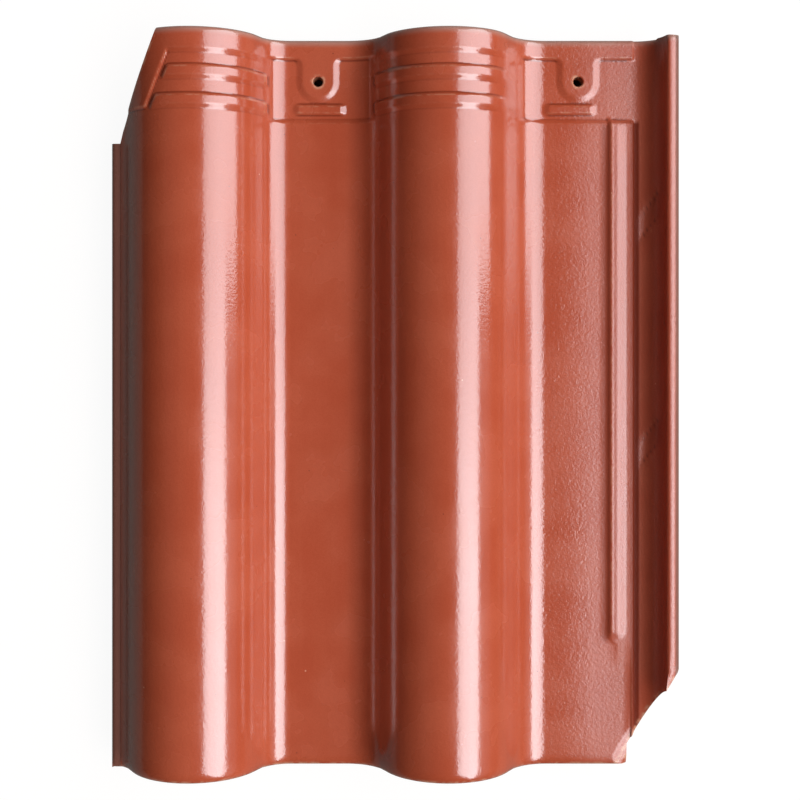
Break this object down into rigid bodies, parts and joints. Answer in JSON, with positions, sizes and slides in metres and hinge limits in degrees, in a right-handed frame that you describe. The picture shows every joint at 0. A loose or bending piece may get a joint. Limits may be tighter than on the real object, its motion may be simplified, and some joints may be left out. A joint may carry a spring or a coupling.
{
  "type": "clay roof tile",
  "caption": "Glazed clay roof tile with rolls and pans, a side lock channel, a cover flange, nail holes and hanging nibs, for laying in overlapping rows.",
  "frame": {"origin": "bottom centre of the bounding box, on the plane of the nibs and feet", "axes": "+X toward the lock lip, +Y toward the head with the nail holes, +Z out of the weather face"},
  "size_m": [0.31, 0.4, 0.0527],
  "materials": {
    "glazed_clay": "glossy red-brown glaze, thinner and paler on the edges"
  },
  "bodies": {
    "root": {"roof_tile": "glazed_clay"}
  },
  "joints": []
}
